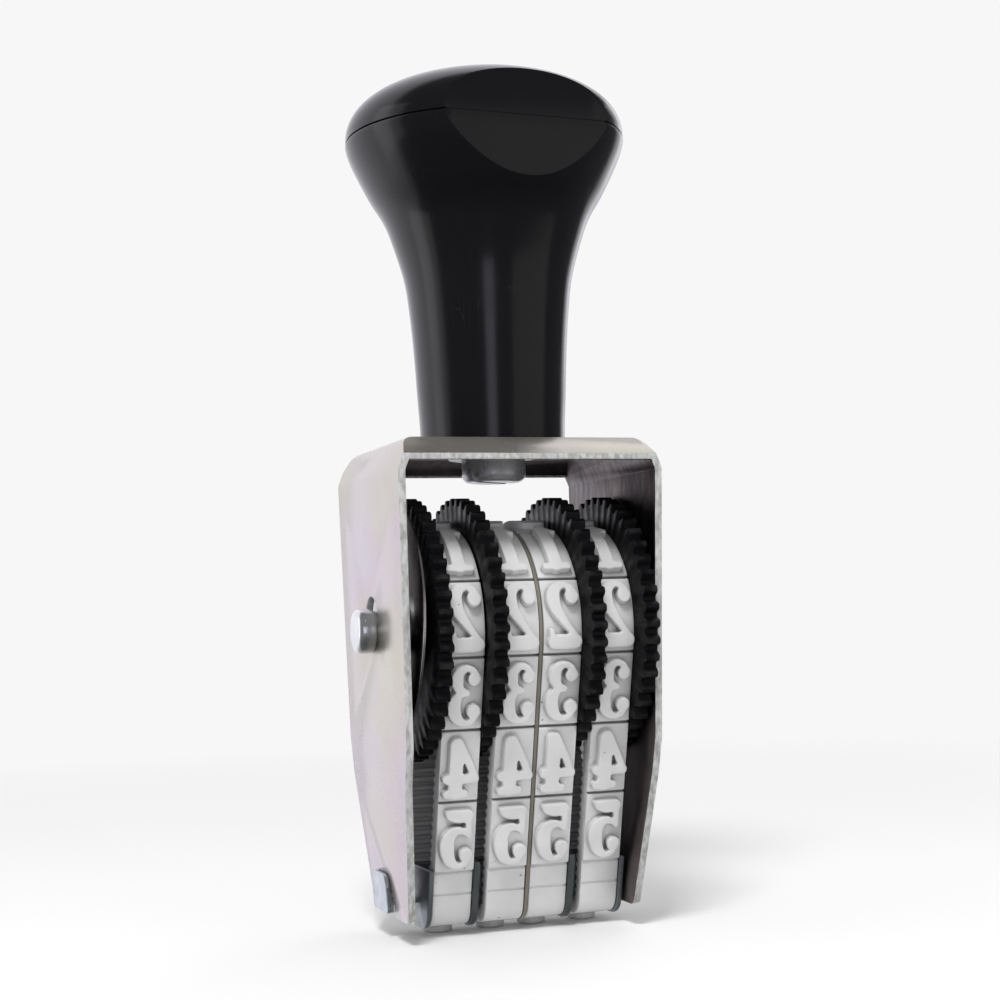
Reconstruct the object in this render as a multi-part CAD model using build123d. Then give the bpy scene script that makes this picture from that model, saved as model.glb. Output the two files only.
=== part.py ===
from build123d import *
import os
from math import asin, atan2, cos, degrees, hypot, pi, radians, sin, tan

# Four-band numbering stamp. Built about the knob's axis (X = 0, Y = 0), print face at Z = 0,
# front towards -Y, then moved along Y so that the origin is the middle of its footprint.

# Frame: one bent strip of sheet, a hipped crown on top and two legs
sheet = 1.0
frame_width = 38.0          # over the legs, at the shoulder
foot_width = 33.8           # over the legs, at the feet
bend_width = 36.6           # over the legs, where they start to close in
bend_height = 22.0
frame_depth = 33.0
knee_depth = 29.6
knee_height = 27.0
foot_depth = 17.0
foot_height = 3.1
shoulder_height = 64.0      # where the legs turn over into the crown
eave_height = 66.0          # front and back edges of the crown
crown_height = 68.5
crown_width = 34.4
crown_depth = 26.0
bend_radius = 1.8
foot_radius = 1.2
notch_width = 4.0           # notch in each foot for the platen's ear
notch_height = 3.4

# Axle and its keyhole slots
axle_height = 42.5
axle_diameter = 6.2
axle_stub = 2.7             # what stands out past each leg
axle_chamfer = 0.7
groove_depth = 0.3
groove_play = 0.25          # each side of the sheet, in the groove
slot_play = 0.05            # each side of the axle, in the slot
slot_rise = 1.7             # keyhole centre above the seated axle

# Number wheels
tooth_count = 48
wheel_radius = 18.5
tooth_depth = 1.0
flange_thickness = 2.0
bore_play = 0.05            # radial running clearance on the axle
side_gap = 0.08             # between a turning face and its neighbour
hub_spline_count = 66
hub_spline_depth = 0.4
hub_play = 0.3              # hub splines to band ribs
face_recess_depth = 0.5
face_recess_inner = 6.0
face_recess_outer = 14.5

# Type bands: offsets are measured outwards from the line of constant length
band_width = 5.6
band_hub_radius = 13.4      # radius of that line round the hub
pad_offset = 0.7
type_height = 1.1
type_root = 0.1             # how deep each digit's foot runs into its pad
base_offset = -1.4
rib_height = 0.5
ribs_per_character = 8
nose_half_flat = 1.6        # half of the flat under the nose
nose_corner_radius = 2.4    # at the line of constant length
pad_groove_width = 0.35
pad_groove_depth = 0.7
type_phase = -4.5           # centre of the first character, from the middle of the nose
characters = ["6", " ", "5", "4", "3", "2", "1", "0", " ", " ", "9", "8", "7"]
glyph_height = 7.9
glyph_width = 4.6
stroke_width = 1.2

# Plates between the bands and the platen under them
divider_centre = 1.36
divider_thickness = 0.5
divider_offset = 0.55
separator_thickness = 0.9
separator_top = 10.4
platen_sheet = 0.7
platen_top = 9.4
platen_end_top = 9.6
platen_play = 0.15          # platen to band ribs
plate_play = 0.05           # divider round the platen
ear_play = 0.1              # ear to notch
ear_length = 5.6            # how far the folded ear lies back along the leg
ear_height = 5.4
ear_corner = 1.8            # upper corners; the lower ones are half as round
ear_lift = 0.3              # ear above the foot

# Dished spring disc and thrust washer
disc_radius = 17.6
disc_thickness = 0.35
disc_dish = 1.35
disc_flat_radius = 5.0
disc_tilt = 3.0
disc_gap = 0.3
washer_radius = 6.5
washer_thickness = 0.25
washer_play = 0.1           # radial, on the axle

# Knob, in two shells, and the screw that holds it
knob_radius = 20.25
knob_seam = 112.7
knob_top = 122.2
neck_radius = 10.4
knob_flat = 16.2            # distance of the front flat from the axis, at the seam
flat_turn = 3.0             # how far the tightened knob's flat faces to the right of the front
flat_lean = 3.0             # and how far it leans back
dome_flat = 0.6             # radius of the small flat on top of the dome
knob_wall = 2.2
boss_radius = 6.2
boss_top = 92.0
seam_groove = 0.3
spigot_height = 3.0
spigot_wall = 1.4
spigot_play = 0.05
insert_recess = 0.2         # insert up from the knob's base
insert_radius = 4.0
insert_length = 14.0
screw_radius = 2.5
screw_play = 0.25           # radial, in the crown
screw_turn = 35.0           # where its driver slot came to rest
screw_head_radius = 4.6
screw_head_height = 3.4
screw_length = 16.0
driver_slot_width = 1.2
driver_slot_depth = 1.3
thread_play = 0.03
lock_washer_radius = 6.5
lock_washer_thickness = 0.9
lock_washer_teeth = 16
lock_washer_tooth = 1.1
lock_washer_play = 0.15     # radial, on the screw

# Worked out from the above
axle_radius = axle_diameter / 2
pad_radius = band_hub_radius + pad_offset
nose_height = type_height + pad_offset + nose_corner_radius
strand_rise = axle_height - nose_height
centre_distance = hypot(nose_half_flat, strand_rise)
radius_drop = band_hub_radius - nose_corner_radius
strand_tilt = asin(radius_drop / centre_distance) - atan2(nose_half_flat, strand_rise)
strand_length = (centre_distance**2 - radius_drop**2) ** 0.5
corner_arc = nose_corner_radius * (pi / 2 - strand_tilt)
hub_arc = band_hub_radius * (pi / 2 + strand_tilt)
loop_length = 2 * (nose_half_flat + corner_arc + strand_length + hub_arc)
character_pitch = loop_length / len(characters)
hub_radius = band_hub_radius + base_offset - rib_height - hub_play
centre_shift = (wheel_radius - knob_radius) / 2

# Left and right faces of everything stacked along the axle
band_3_left = divider_centre + divider_thickness / 2 + side_gap
wheel_3_left = band_3_left + band_width + side_gap
band_4_left = wheel_3_left + flange_thickness + side_gap
wheel_4_left = band_4_left + band_width + side_gap
band_2_left = divider_centre - divider_thickness / 2 - side_gap - band_width
wheel_2_left = band_2_left - side_gap - flange_thickness
band_1_left = wheel_2_left - side_gap - band_width
wheel_1_left = band_1_left - side_gap - flange_thickness


def half_width_at(height):
    """Half of the frame's outside width at a height on its legs."""
    if height < bend_height:
        share = (height - foot_height) / (bend_height - foot_height)
        return (foot_width + share * (bend_width - foot_width)) / 2
    share = (height - bend_height) / (shoulder_height - bend_height)
    return (bend_width + share * (frame_width - bend_width)) / 2


def rounded(points, radii):
    """A filled outline with its corners rounded; a radius of 0 leaves a corner sharp."""
    wire = Wire.make_polygon([Vector(*p) for p in points], close=True)
    for point, radius in zip(points, radii):
        if radius > 0:
            corner = min(wire.vertices(), key=lambda v: (Vector(v) - Vector(*point)).length)
            wire = wire.fillet_2d(radius, [corner])
    face = Face(wire)
    return face if face.normal_at().Z > 0 else -face


def extrude_y(face, length):
    """Extrude an outline drawn in X and Z equally to the front and the back."""
    return extrude(Plane.XZ * face, amount=length / 2, both=True)


def extrude_x(face, start, width):
    """Extrude an outline drawn in Y and Z along X from start."""
    return extrude(Plane.YZ.offset(start) * face, amount=width, dir=(1, 0, 0))


def disc_x(radius, start, width):
    """A cylinder along X about the axle."""
    return extrude_x(Pos(0, axle_height) * Circle(radius), start, width)


# Frame
def strip_outline():
    """The bent strip's outside in X and Z, running on below the feet."""
    below = 6.0
    slope = (bend_width - foot_width) / 2 / (bend_height - foot_height)
    right = [
        (foot_width / 2 - slope * below, foot_height - below),
        (bend_width / 2, bend_height),
        (frame_width / 2, shoulder_height),
        (crown_width / 2, crown_height),
    ]
    left = [(-x, z) for x, z in reversed(right)]
    radii = [0, 6 * bend_radius, bend_radius, bend_radius]
    return right + left, radii + radii[::-1]


def side_outline():
    """The frame's outline seen from the side, in Y and Z."""
    front = [
        (-foot_depth / 2, foot_height),
        (-knee_depth / 2, knee_height),
        (-frame_depth / 2, eave_height),
        (-crown_depth / 2, crown_height),
    ]
    back = [(-y, z) for y, z in reversed(front)]
    radii = [foot_radius, 3 * foot_radius, 0, 0]
    return front + back, radii + radii[::-1]


def make_frame():
    strip_points, strip_radii = strip_outline()
    strip_face = rounded(strip_points, strip_radii)
    side_points, side_radii = side_outline()
    side_face = rounded(side_points, side_radii)
    side_block = extrude_x(side_face, -frame_width, 2 * frame_width)
    legs = extrude_y(strip_face - offset(strip_face, -sheet), 2 * frame_depth) & side_block
    # the front and back slopes of the crown, closed in by the same hips as the strip
    slope_face = side_face - offset(side_face, -sheet)
    slopes = extrude_x(slope_face, -frame_width / 2, frame_width)
    slopes &= extrude_y(strip_face, 2 * frame_depth)
    slopes &= Pos(0, 0, eave_height - 0.8 * sheet) * Box(
        2 * frame_width, 2 * frame_depth, crown_height, align=(Align.CENTER, Align.CENTER, Align.MIN)
    )
    body = legs + slopes
    # keyhole: a slot that fits the axle's grooves, under a hole that passes its full diameter
    seat = axle_radius - groove_depth + slot_play
    keyhole = Pos(0, axle_height) * Circle(seat)
    keyhole += Pos(0, axle_height + slot_rise / 2) * Rectangle(2 * seat, slot_rise)
    keyhole += Pos(0, axle_height + slot_rise) * Circle(axle_radius + slot_play)
    body -= extrude_x(keyhole, -frame_width, 2 * frame_width)
    notch = Pos(0, foot_height) * SlotOverall(2 * notch_height, notch_width, rotation=90)
    body -= extrude_x(notch, -frame_width, 2 * frame_width)
    body -= Pos(0, 0, crown_height) * Cylinder(screw_radius + screw_play, 4 * sheet)
    return body


# Axle and the discs on it
def make_axle():
    leg_outside = half_width_at(axle_height)
    half = leg_outside + axle_stub
    bar_edges = disc_x(axle_radius, -half, 2 * half).edges()
    body = chamfer(bar_edges.filter_by(GeomType.CIRCLE), axle_chamfer)
    width = sheet + 2 * groove_play
    for side in (-1, 1):
        middle = side * (leg_outside - sheet / 2)
        ring = disc_x(axle_radius + 1, middle - width / 2, width)
        body -= ring - disc_x(axle_radius - groove_depth, middle - width / 2, width)
    return body


def make_spring_disc():
    """A dished disc between the left leg and the first wheel, leaning a little in its place."""
    hole = axle_radius + 2 * washer_play + disc_dish * tan(radians(disc_tilt))
    flat = (disc_flat_radius, 0)
    rim = (disc_radius, -disc_dish)
    profile = Polygon(
        (hole, 0),
        flat,
        rim,
        (rim[0], rim[1] - disc_thickness),
        (flat[0], -disc_thickness),
        (hole, -disc_thickness),
        align=None,
    )
    body = revolve(Plane.XZ * profile, Axis.Z)
    place = Pos(wheel_1_left - disc_gap, 0, axle_height)
    return place * Rot(0, 90 + disc_tilt, 0) * body


def make_thrust_washer():
    left = wheel_4_left + flange_thickness + side_gap / 2
    ring = disc_x(washer_radius, left, washer_thickness)
    return ring - disc_x(axle_radius + washer_play, left, washer_thickness)


# Number wheels
def toothed_outline(count, tip_radius, depth, tip_share):
    """A ring of trapezoid teeth: each one has a root, a flank, a tip and a flank."""
    step = 2 * pi / count
    root_radius = tip_radius - depth
    points = []
    for tooth in range(count):
        for share, radius in ((-0.5 + tip_share / 2, root_radius), (-tip_share / 2, tip_radius),
                              (tip_share / 2, tip_radius), (0.5 - tip_share / 2, root_radius)):
            angle = (tooth + share) * step
            points.append((radius * cos(angle), axle_height + radius * sin(angle)))
    return Polygon(*points, align=None)


def make_wheel(flange_left, hub_side):
    """A toothed flange with a splined hub on one side, +1 right or -1 left, that carries its band."""
    hub_length = band_width + side_gap
    hub_left = flange_left + flange_thickness if hub_side > 0 else flange_left - hub_length
    teeth = toothed_outline(tooth_count, wheel_radius, tooth_depth, 0.42)
    flange = extrude_x(teeth, flange_left, flange_thickness)
    splines = toothed_outline(hub_spline_count, hub_radius, hub_spline_depth, 0.5)
    hub = extrude_x(splines, hub_left, hub_length)
    # a shallow ring recess on the flange's outer face
    recess_left = flange_left if hub_side > 0 else flange_left + flange_thickness - face_recess_depth
    recess = disc_x(face_recess_outer, recess_left, face_recess_depth)
    recess -= disc_x(face_recess_inner, recess_left, face_recess_depth)
    bore = disc_x(axle_radius + bore_play, flange_left - hub_length, flange_thickness + 2 * hub_length)
    return flange + hub - recess - bore


# Type bands
def loop_place(along, outwards):
    """Point, outward angle and direction on the band's path, from the middle of the nose up the front."""
    side = 1 if along >= 0 else -1
    run = abs(along)
    if run < nose_half_flat:
        angle = pi / 2
        y, z = -run, nose_height - nose_corner_radius
    elif run < nose_half_flat + corner_arc:
        angle = pi / 2 - (run - nose_half_flat) / nose_corner_radius
        y = -nose_half_flat - nose_corner_radius * cos(angle)
        z = nose_height - nose_corner_radius * sin(angle)
    elif run < nose_half_flat + corner_arc + strand_length:
        angle = strand_tilt
        up = run - nose_half_flat - corner_arc
        y = -nose_half_flat - nose_corner_radius * cos(angle) - up * sin(angle)
        z = nose_height - nose_corner_radius * sin(angle) + up * cos(angle)
    else:
        angle = strand_tilt - (run - nose_half_flat - corner_arc - strand_length) / band_hub_radius
        y = -band_hub_radius * cos(angle)
        z = axle_height - band_hub_radius * sin(angle)
    y -= outwards * cos(angle)
    z -= outwards * sin(angle)
    return side * y, z, side, angle


def loop_outline(outwards):
    """The band's path at an offset, as a filled outline: one hub circle and two nose circles, hulled."""
    hub = Pos(0, axle_height) * Circle(band_hub_radius + outwards)
    corner = Circle(nose_corner_radius + outwards)
    noses = [Pos(y, nose_height) * corner for y in (-nose_half_flat, nose_half_flat)]
    return make_hull(hub.edges() + noses[0].edges() + noses[1].edges())


def ribbed_outline():
    """The band's inside: fine ribs across it, one after another all the way round."""
    count = ribs_per_character * len(characters)
    step = loop_length / count
    points = []
    for rib in range(count):
        root, crest = base_offset, base_offset - rib_height
        for share, outwards in ((-0.5, root), (-0.25, root), (-0.15, crest), (0.15, crest), (0.25, root)):
            along = (rib + share) * step - loop_length / 2
            y, z, _, _ = loop_place(along, outwards)
            points.append((y, z))
    return Polygon(*points, align=None)


def loop_plane(along, outwards):
    """A plane on the band: its Z points outwards, its Y along the band and its X across it."""
    y, z, side, angle = loop_place(along, outwards)
    out = Vector(0, -side * cos(angle), -sin(angle))
    return Plane(origin=(0, y, z), x_dir=(1, 0, 0), z_dir=out)


def bar(x0, y0, x1, y1):
    """A straight stroke between two points."""
    length = hypot(x1 - x0, y1 - y0)
    turn = degrees(atan2(y1 - y0, x1 - x0))
    stroke = Rectangle(length + 0.4 * stroke_width, stroke_width)
    return Pos((x0 + x1) / 2, (y0 + y1) / 2) * Rot(0, 0, turn) * stroke


def bow(y, height, gap_angle=None, gap=100):
    """A ring-shaped stroke as wide as a digit; a gap is left open about an angle if one is given."""
    half = glyph_width / 2
    hole = Ellipse(half - stroke_width, height / 2 - stroke_width)
    ring = Pos(0, y) * (Ellipse(half, height / 2) - hole)
    if gap_angle is None:
        return ring
    reach = 2 * glyph_height
    low = radians(gap_angle - gap / 2)
    high = radians(gap_angle + gap / 2)
    middle = radians(gap_angle)
    wedge = Polygon(
        (0, 0),
        (reach * cos(low), reach * sin(low)),
        (2 * reach * cos(middle), 2 * reach * sin(middle)),
        (reach * cos(high), reach * sin(high)),
        align=None,
    )
    return ring - Pos(0, y) * wedge


def glyph(character):
    """A plain digit drawn with strokes of one width, centred on the origin, not mirrored."""
    a = (glyph_width - stroke_width) / 2
    b = (glyph_height - stroke_width) / 2
    bowl = (glyph_height + stroke_width) / 2
    high = (glyph_height - bowl) / 2
    if character == "0":
        return bow(0, glyph_height)
    if character == "1":
        return bar(0, -b, 0, b) + bar(-0.7 * a, -b, 0.7 * a, -b) + bar(0, 0.97 * b, -0.6 * a, 0.7 * b)
    if character == "2":
        return bow(high, bowl, 240, 150) + bar(0.85 * a, 0.3 * b, -0.8 * a, -b) + bar(-a, -b, a, -b)
    if character == "3":
        return bow(high, bowl, 190, 130) + bow(-high, bowl, 170, 130)
    if character == "4":
        stem = bar(0.35 * a, b, 0.35 * a, -b)
        return bar(0.35 * a, b, -a, -0.4 * b) + bar(-a, -0.4 * b, a, -0.4 * b) + stem
    if character == "5":
        return bow(-high, bowl, 165, 80) + bar(-0.8 * a, 0.05 * b, -0.8 * a, b) + bar(-0.8 * a, b, a, b)
    if character == "6":
        return bow(-high, bowl) + bow(0, glyph_height, -30, 150)
    if character == "7":
        return bar(-a, b, a, b) + bar(0.9 * a, b, -0.3 * a, -b)
    if character == "8":
        return bow(high, bowl) + bow(-high, bowl)
    return bow(high, bowl) + bow(0, glyph_height, 150, 150)


def make_type():
    """All the raised digits of one band, mirrored, in slices that follow the loop."""
    layer = loop_outline(pad_offset + type_height) - loop_outline(pad_offset - type_root)
    relief = extrude_x(layer, -band_width / 2, band_width)
    digits = []
    for place, character in enumerate(characters):
        if character == " ":
            continue
        centre = type_phase + place * character_pitch
        if centre > loop_length / 2:
            centre -= loop_length
        face = mirror(glyph(character), Plane.YZ)
        near_nose = abs(centre) < nose_half_flat + corner_arc + glyph_height / 2
        slices = 7 if near_nose else 1
        height = glyph_height / slices
        for number in range(slices):
            middle = (number + 0.5) * height - glyph_height / 2
            overlap = 1.5 if near_nose else 1.0
            strip = face & (Pos(0, middle) * Rectangle(2 * glyph_width, overlap * height))
            plane = loop_plane(centre + middle, 0)
            prism = extrude(plane * Pos(0, -middle) * strip, amount=pad_offset + 3 * type_height)
            digits.append(prism & relief)
    return digits


def make_band():
    """One endless band about X = 0: ribbed inside, a pad for each character, raised type on the pads."""
    ring = extrude_x(loop_outline(pad_offset) - ribbed_outline(), -band_width / 2, band_width)
    for place in range(len(characters)):
        edge = type_phase + (place - 0.5) * character_pitch
        if edge > loop_length / 2:
            edge -= loop_length
        cutter = Box(2 * band_width, pad_groove_width, 2 * pad_groove_depth)
        ring -= loop_plane(edge, pad_offset) * cutter
    for digit in make_type():
        ring += digit
    return ring


# Plates and platen
def nose_outline(outwards, top):
    """The lower end of the band's path, cut off at a height."""
    keep = Pos(0, top / 2) * Rectangle(4 * pad_radius, top)
    return loop_outline(outwards) & keep


def make_divider():
    left = divider_centre - divider_thickness / 2
    plate = extrude_x(loop_outline(divider_offset), left, divider_thickness)
    plate -= disc_x(axle_radius + washer_play, left, divider_thickness)
    slot = nose_outline(base_offset - rib_height - platen_play + plate_play, platen_top + 2 * plate_play)
    return plate - extrude_x(slot, left, divider_thickness)


def make_separator(left):
    plate = extrude_x(nose_outline(pad_offset, separator_top), left, separator_thickness)
    slot = nose_outline(base_offset - rib_height - platen_play, separator_top)
    return plate - extrude_x(slot, left, separator_thickness)


def make_platen():
    """A folded trough that the bands run under, with an end plate and a folded ear at each foot."""
    left = band_1_left - side_gap - platen_sheet
    right = band_4_left + band_width + side_gap
    trough = nose_outline(base_offset - rib_height - platen_play, platen_top)
    floor = nose_height + platen_sheet
    spread = (platen_top - floor) * tan(strand_tilt)
    half = nose_half_flat - platen_sheet / 2
    trough -= Polygon(
        (-half, floor),
        (half, floor),
        (half + spread, platen_top),
        (-half - spread, platen_top),
        align=None,
    )
    body = extrude_x(trough, left, right + platen_sheet - left)
    end = nose_outline(pad_offset, platen_end_top)
    body += extrude_x(end, left, platen_sheet)
    body += extrude_x(end, right, platen_sheet)
    lean = degrees(atan2((bend_width - foot_width) / 2, bend_height - foot_height))
    tongue_height = foot_height + notch_height - notch_width / 2 + 0.5
    tongue_width = notch_width / 2 - 2 * ear_play
    for side, inner in ((-1, left + platen_sheet / 2), (1, right + platen_sheet / 2)):
        outside = half_width_at(foot_height + notch_height) + platen_sheet / 2
        middle = side * (abs(inner) + outside) / 2
        reach = outside - abs(inner) + platen_sheet / 2
        body += Pos(middle, 0, tongue_height) * Box(reach, tongue_width, platen_sheet)
        ear = Box(platen_sheet, ear_length + tongue_width, ear_height)
        corners = ear.edges().filter_by(Axis.X).sort_by(Axis.Z)
        ear = fillet(corners[:2], ear_corner / 2)
        ear = fillet(ear.edges().filter_by(Axis.X).sort_by(Axis.Z)[-2:], ear_corner)
        height = foot_height + ear_height / 2 + ear_lift
        stand_off = half_width_at(height) + platen_sheet / 2 + 0.02
        body += Pos(side * stand_off, ear_length / 2, height) * Rot(0, side * lean, 0) * ear
    return body


# Knob and its fixing
def knob_outline(inset):
    """Half of the knob's lower shell in X and Z, from its base to the seam, set in by a wall."""
    neck = [
        (neck_radius - inset, crown_height),
        (neck_radius - inset, crown_height + 3),
        (neck_radius + 0.7 - inset, crown_height + 13),
        (neck_radius + 1.85 - inset, crown_height + 24.5),
        (neck_radius + 4.75 - inset, crown_height + 33.3),
        (knob_radius - 1.4 - inset, knob_seam - 4.4),
        (knob_radius - inset, knob_seam),
    ]
    base = Polyline((0, crown_height), neck[0], neck[1])
    side = Spline(*neck[1:], tangents=((0, 1), (0.05, 1)))
    close = Polyline(neck[-1], (0, knob_seam), (0, crown_height))
    return make_face(base.edges() + side.edges() + close.edges())


def dome_outline(inset):
    """Half of the cap, set in by a wall: a low dome, fuller than an ellipse, a small flat on top."""
    rise = knob_top - knob_seam - inset
    reach = knob_radius - inset
    rim = (reach, knob_seam)
    top = (dome_flat, knob_seam + rise)
    shoulder = (0.8 * reach, knob_seam + 0.67 * rise)
    brow = (0.4 * reach, knob_seam + 0.94 * rise)
    side = Spline(rim, shoulder, brow, top, tangents=((0, 1), (-1, 0)))
    close = Polyline(top, (0, knob_seam + rise), (0, knob_seam), rim)
    return make_face(side.edges() + close.edges())


def spin(face):
    return revolve(Plane.XZ * face, Axis.Z)


def behind(distance):
    """Everything behind the plane of the knob's flat, this distance in front of the axis at the seam."""
    size = 10 * knob_radius
    block = Box(size, size, 2 * size, align=(Align.CENTER, Align.MIN, Align.CENTER))
    leaning = Pos(0, -distance, 0) * Rot(-flat_lean, 0, 0) * block
    return Pos(0, 0, knob_seam) * Rot(0, 0, flat_turn) * leaning


def make_handle_body():
    body = spin(knob_outline(0)) & behind(knob_flat)
    hollow = spin(knob_outline(knob_wall)) & behind(knob_flat - knob_wall)
    hollow -= Pos(0, 0, crown_height) * Cylinder(boss_radius, 2 * (boss_top - crown_height))
    hollow -= Pos(0, 0, crown_height) * Cylinder(2 * knob_radius, 4 * knob_wall)
    body -= hollow
    body -= Pos(0, 0, crown_height) * Cylinder(insert_radius, 2 * (insert_length + 5 * insert_recess))
    # fine groove round the seam
    ring = Cylinder(knob_radius + 1, seam_groove) - Cylinder(knob_radius - seam_groove, seam_groove)
    return body - Pos(0, 0, knob_seam - seam_groove / 2) * ring


def make_handle_cap():
    dome = spin(dome_outline(0)) & behind(knob_flat)
    dome -= spin(dome_outline(knob_wall)) & behind(knob_flat - knob_wall)
    # a spigot under the dome that plugs into the lower shell
    inset = knob_wall + spigot_play
    reach = knob_radius - inset
    ring = Circle(reach) - Circle(reach - spigot_wall)
    chord = 2 * ((reach - spigot_wall / 2)**2 - (knob_flat - inset)**2) ** 0.5
    straight = Pos(0, spigot_wall / 2 - (knob_flat - inset)) * Rectangle(chord, spigot_wall)
    ring += Rot(0, 0, flat_turn) * straight
    spigot = extrude(Plane.XY.offset(knob_seam - spigot_height) * ring, amount=2 * spigot_height)
    shape = spin(knob_outline(inset))
    shape += Pos(0, 0, knob_seam + spigot_height / 2) * Cylinder(reach, spigot_height)
    return dome + (spigot & shape & behind(knob_flat - inset))


def make_handle_insert():
    on_end = (Align.CENTER, Align.CENTER, Align.MIN)
    tube = Cylinder(insert_radius, insert_length, align=on_end)
    bore = Cylinder(screw_radius + thread_play, insert_length, align=on_end)
    return Pos(0, 0, crown_height + insert_recess) * (tube - bore)


def make_handle_screw():
    seat = crown_height - sheet - lock_washer_thickness
    shank = Cylinder(screw_radius, screw_length, align=(Align.CENTER, Align.CENTER, Align.MIN))
    head = Pos(0, 0, -screw_head_height / 2) * Cylinder(screw_head_radius, screw_head_height)
    head = fillet(head.edges().sort_by(Axis.Z)[0], 1.2)
    driver_slot = Box(4 * screw_head_radius, driver_slot_width, 2 * driver_slot_depth)
    head -= Pos(0, 0, -screw_head_height) * driver_slot
    return Pos(0, 0, seat) * Rot(0, 0, screw_turn) * (shank + head)


def make_lock_washer():
    """A washer with teeth round its rim."""
    seat = crown_height - sheet - lock_washer_thickness
    disc = Circle(lock_washer_radius)
    for tooth in range(lock_washer_teeth):
        notch = Pos(lock_washer_radius, 0) * Rectangle(2 * lock_washer_tooth, 0.5 * lock_washer_tooth)
        disc -= Rot(0, 0, tooth * 360 / lock_washer_teeth) * notch
    disc -= Circle(screw_radius + lock_washer_play)
    return extrude(Plane.XY.offset(seat) * disc, amount=lock_washer_thickness)


def make_all():
    band = make_band()
    parts = {
        "frame": make_frame(),
        "axle": make_axle(),
        "spring_disc": make_spring_disc(),
        "thrust_washer": make_thrust_washer(),
        "wheel_1": make_wheel(wheel_1_left, 1),
        "wheel_2": make_wheel(wheel_2_left, 1),
        "wheel_3": make_wheel(wheel_3_left, -1),
        "wheel_4": make_wheel(wheel_4_left, -1),
        "band_divider": make_divider(),
        "separator_left": make_separator(band_1_left + band_width + side_gap),
        "separator_right": make_separator(band_3_left + band_width + side_gap),
        "platen": make_platen(),
        "handle_body": make_handle_body(),
        "handle_cap": make_handle_cap(),
        "handle_insert": make_handle_insert(),
        "handle_screw": make_handle_screw(),
        "lock_washer": make_lock_washer(),
    }
    for number, left in enumerate((band_1_left, band_2_left, band_3_left, band_4_left), start=1):
        parts[f"band_{number}"] = Pos(left + band_width / 2, 0, 0) * band
    return parts


os.makedirs("parts", exist_ok=True)
for name, shape in make_all().items():
    export_step(Pos(0, centre_shift, 0) * shape, f"parts/{name}.step")
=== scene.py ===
from math import atan2, cos, hypot, pi, radians, sin

import bmesh
import bpy
from mathutils import Matrix, Vector


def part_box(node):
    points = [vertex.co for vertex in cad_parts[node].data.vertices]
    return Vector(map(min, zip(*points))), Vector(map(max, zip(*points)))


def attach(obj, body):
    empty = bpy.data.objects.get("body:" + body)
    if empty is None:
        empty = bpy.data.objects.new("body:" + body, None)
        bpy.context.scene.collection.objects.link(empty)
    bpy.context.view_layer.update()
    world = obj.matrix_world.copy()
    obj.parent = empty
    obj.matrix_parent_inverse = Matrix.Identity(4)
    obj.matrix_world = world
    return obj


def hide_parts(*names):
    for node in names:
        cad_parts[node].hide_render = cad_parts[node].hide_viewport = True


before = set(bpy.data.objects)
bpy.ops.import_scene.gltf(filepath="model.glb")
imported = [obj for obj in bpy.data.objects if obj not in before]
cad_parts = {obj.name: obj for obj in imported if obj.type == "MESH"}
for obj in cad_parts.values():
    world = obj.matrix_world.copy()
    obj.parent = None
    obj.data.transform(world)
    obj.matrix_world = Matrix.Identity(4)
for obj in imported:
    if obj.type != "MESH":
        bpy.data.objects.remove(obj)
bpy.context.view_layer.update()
mm = 0.001


def middle(node):
    low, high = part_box(node)
    return (low + high) / 2


axleY = middle("axle").y / mm
axleZ = middle("axle").z / mm
print("frame loaded, axle at", round(axleY, 3), round(axleZ, 3))


# shared helpers: meshes

def newPiece(name, bm, material, body, *nodes, smoothAngle=35, slot=None):
    # bm is in millimetres; the finished piece is in metres with its place in its mesh
    bmesh.ops.scale(bm, vec=(mm, mm, mm), verts=bm.verts)
    mesh = bpy.data.meshes.new(name)
    bm.to_mesh(mesh)
    bm.free()
    mesh.shade_smooth()
    mesh.set_sharp_from_angle(angle=radians(smoothAngle))
    piece = bpy.data.objects.new(name, mesh)
    bpy.context.scene.collection.objects.link(piece)
    mesh.materials.append(material)
    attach(piece, body)
    if nodes:
        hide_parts(*nodes)
    return piece


def fromNode(node):
    # a merged, cleaned copy of a CAD node in millimetres
    clean = {"weld": 0.0005, "flatWithin": 0.6}
    bm = bmesh.new()
    bm.from_mesh(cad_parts[node].data)
    bmesh.ops.scale(bm, vec=(1 / mm, 1 / mm, 1 / mm), verts=bm.verts)
    bmesh.ops.remove_doubles(bm, verts=bm.verts, dist=clean["weld"])
    bmesh.ops.dissolve_limit(bm, angle_limit=radians(clean["flatWithin"]), verts=bm.verts, edges=bm.edges,
                             delimit={"NORMAL"})
    return bm


def softenEdges(bm, width, segments=2, angle=30):
    edges = [e for e in bm.edges if len(e.link_faces) == 2 and e.calc_face_angle(0) > radians(angle)]
    bmesh.ops.bevel(bm, geom=edges, offset=width, segments=segments, profile=0.5, affect="EDGES",
                    material=-1, clamp_overlap=True)


def spun(profile, steps, axis, centre=(0, 0, 0), closed=True):
    # profile points are already in space; the ends may sit on the axis
    bm = bmesh.new()
    verts = [bm.verts.new(p) for p in profile]
    edges = [bm.edges.new(pair) for pair in zip(verts, verts[1:])]
    if closed:
        edges.append(bm.edges.new((verts[-1], verts[0])))
    bmesh.ops.spin(bm, geom=verts + edges, cent=centre, axis=axis, angle=2 * pi, steps=steps,
                   use_merge=True)
    bmesh.ops.remove_doubles(bm, verts=bm.verts, dist=0.0004)
    bmesh.ops.recalc_face_normals(bm, faces=bm.faces)
    return bm


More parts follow.
